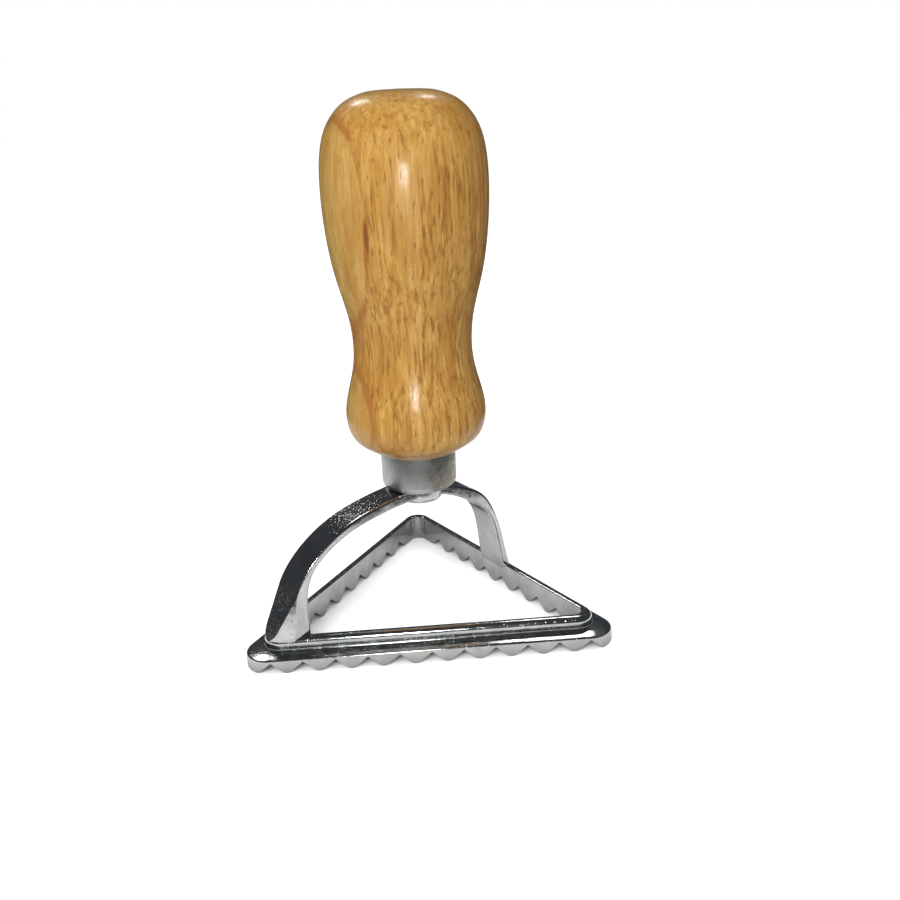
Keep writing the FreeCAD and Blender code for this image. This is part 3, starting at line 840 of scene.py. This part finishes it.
def table_top():
    """A disc of 3 m, flat at the height of the tooth tips, whose glow for the
    camera fades close to the teeth as painted shade. The polish does not mirror it."""
    table = lay_disc("table_top", TABLE_RADIUS, (0.0, 0.0, 0.0))
    material, tree, shader = paper_finish("white_table", PAPER_WHITE)
    glow = add_node(tree, "ShaderNodeMath", {0: seen_rays(tree), 1: TABLE_GLOW}, operation="MULTIPLY")
    # Painted shade: the glow is dimmed by the openness near and under the teeth.
    painted_shade = add_node(tree, "ShaderNodeMath", {0: glow.outputs["Value"], 1: openness(tree, TABLE_SHADE)},
                    operation="MULTIPLY")
    tree.links.new(painted_shade.outputs["Value"], shader.inputs["Emission Strength"])
    table.data.materials.append(material)
    table.visible_glossy = False
    return table


def mirrored_only(piece):
    """Leaves the piece to mirrored rays alone."""
    for rays in ("camera", "diffuse", "transmission", "volume_scatter", "shadow"):
        setattr(piece, "visible_" + rays, False)


def white_sheet():
    """The part of the table that the polish mirrors: a small disc a tenth of a
    millimetre over it, seen only in mirrored rays, whose glow is the openness to
    a power: painted shade that darkens the mirrored top near the teeth."""
    sheet = lay_disc("white_sheet", SHEET_RADIUS, SHEET_PLACE)
    material, tree, shader = paper_finish("sheet_white", SHEET_WHITE)
    # Painted shade: the openness to a power darkens the mirrored glow near the teeth.
    painted_shade = add_node(tree, "ShaderNodeMath", {0: openness(tree, SHEET_SHADE), 1: SHEET_SHADE_POWER},
                    operation="POWER")
    glow = add_node(tree, "ShaderNodeMath", {0: painted_shade.outputs["Value"], 1: SHEET_GLOW},
                    operation="MULTIPLY")
    tree.links.new(glow.outputs["Value"], shader.inputs["Emission Strength"])
    sheet.data.materials.append(material)
    mirrored_only(sheet)
    return sheet


table_top()
white_sheet()


# Even light from all round, with a soft key from the front left. The chrome
# mirrors a dim room above the table, which a dark hood stands for. Small lamps
# by the camera and over the back give the varnish its highlights.
ROOM_LIGHT = 0.62
HOOD_REACH, HOOD_TINT, HOOD_GLOW = 1.4, (0.85, 0.9, 1.0), 0.055


def light_room():
    """White surroundings, plain for the eye and softer as light."""
    world = bpy.data.worlds.new("room")
    bpy.context.scene.world = world
    world.use_nodes = True
    tree = world.node_tree
    background = tree.nodes["Background"]
    background.inputs["Color"].default_value = (1.0, 1.0, 1.0, 1.0)
    level = add_node(tree, "ShaderNodeMapRange", {"Value": seen_rays(tree), "To Min": ROOM_LIGHT,
                                                  "To Max": 1.0})
    tree.links.new(level.outputs["Result"], background.inputs["Strength"])


def dark_hood():
    """A ball round the table that only mirrored rays meet, dark grey: rows of
    64 points at even rises, with each end closed by one face."""
    rise = np.linspace(0.02 - math.pi / 2, math.pi / 2 - 0.02, 48)
    turn = np.arange(64) * (2 * math.pi / 64)
    level = HOOD_REACH * np.cos(rise)[:, None]
    grid = np.stack([level * np.cos(turn), level * np.sin(turn),
                     np.repeat(HOOD_REACH * np.sin(rise)[:, None], 64, axis=1)], axis=-1)
    faces = cell_faces(48, 64, False)
    faces.append(list(range(64))[::-1])
    faces.append(list(range(47 * 64, 48 * 64)))
    mesh = bpy.data.meshes.new("dark_hood")
    mesh.from_pydata(grid.reshape(-1, 3).tolist(), [], faces)
    mesh.update()
    hood = bpy.data.objects.new("dark_hood", mesh)
    bpy.context.scene.collection.objects.link(hood)
    material, tree, shader = finish_material("dim_room")
    shader.inputs["Base Color"].default_value = (0.0, 0.0, 0.0, 1.0)
    shader.inputs["Specular IOR Level"].default_value = 0.0
    shader.inputs["Emission Color"].default_value = (*HOOD_TINT, 1.0)
    shader.inputs["Emission Strength"].default_value = HOOD_GLOW
    mesh.materials.append(material)
    mirrored_only(hood)
    return hood


def add_lamp(name, place, aim, size, power, mirrored, lights):
    """A round lamp at a place, turned to its aim. It can be kept out of
    mirrored rays, or out of the plain light."""
    lamp = bpy.data.lights.new(name, "AREA")
    lamp.shape = "DISK"
    lamp.size = size
    lamp.energy = power
    holder = bpy.data.objects.new(name, lamp)
    bpy.context.scene.collection.objects.link(holder)
    holder.location = place
    heading = Vector(aim) - Vector(place)
    holder.rotation_euler = heading.to_track_quat("-Z", "Y").to_euler()
    holder.visible_glossy = mirrored
    holder.visible_diffuse = lights
    holder.visible_camera = False
    return holder


light_room()
dark_hood()
add_lamp("key", (-0.55, -0.45, 0.55), (0.01, 0.0, 0.05), 0.5, 7.0, False, True)
add_lamp("camera_lamp", (-0.095, -0.165, 0.098), (0.008, 0.0, 0.07), 0.034, 0.11, True, False)
add_lamp("back_lamp_left", (0.03, 0.36, 0.42), (0.008, 0.0, 0.09), 0.10, 0.30, True, False)
add_lamp("back_lamp_right", (0.26, 0.22, 0.42), (0.008, 0.0, 0.09), 0.08, 0.14, True, False)


# The photograph is taken by hand from the front left, a little above the ring
# and level with the top of the handle.
CAMERA_PLACE, CAMERA_LENS = (-0.08917, -0.15774, 0.10134), 40.30
CAMERA_TURN, CAMERA_TILT, CAMERA_ROLL = -33.742, 19.936, -2.285


def place_camera():
    """The camera's three directions from its turn round the object, its tilt
    and its roll, as found from the object's own edges."""
    turn, tilt, roll = (math.radians(value) for value in (CAMERA_TURN, CAMERA_TILT, CAMERA_ROLL))
    back = np.array([math.sin(turn) * math.cos(tilt), -math.cos(turn) * math.cos(tilt), math.sin(tilt)])
    right = np.array([math.cos(turn), math.sin(turn), 0.0])
    up = np.cross(back, right)
    camera = bpy.data.cameras.new("photo_camera")
    camera.lens = CAMERA_LENS
    camera.sensor_width = 36.0
    camera.clip_start = 0.01
    camera.clip_end = 20.0
    holder = bpy.data.objects.new("photo_camera", camera)
    bpy.context.scene.collection.objects.link(holder)
    columns = np.column_stack([math.cos(roll) * right + math.sin(roll) * up,
                               -math.sin(roll) * right + math.cos(roll) * up, back,
                               np.array(CAMERA_PLACE)])
    holder.matrix_world = Matrix([list(row) for row in columns] + [[0, 0, 0, 1]])
    bpy.context.scene.camera = holder


place_camera()
bpy.context.scene.view_settings.view_transform = "Standard"
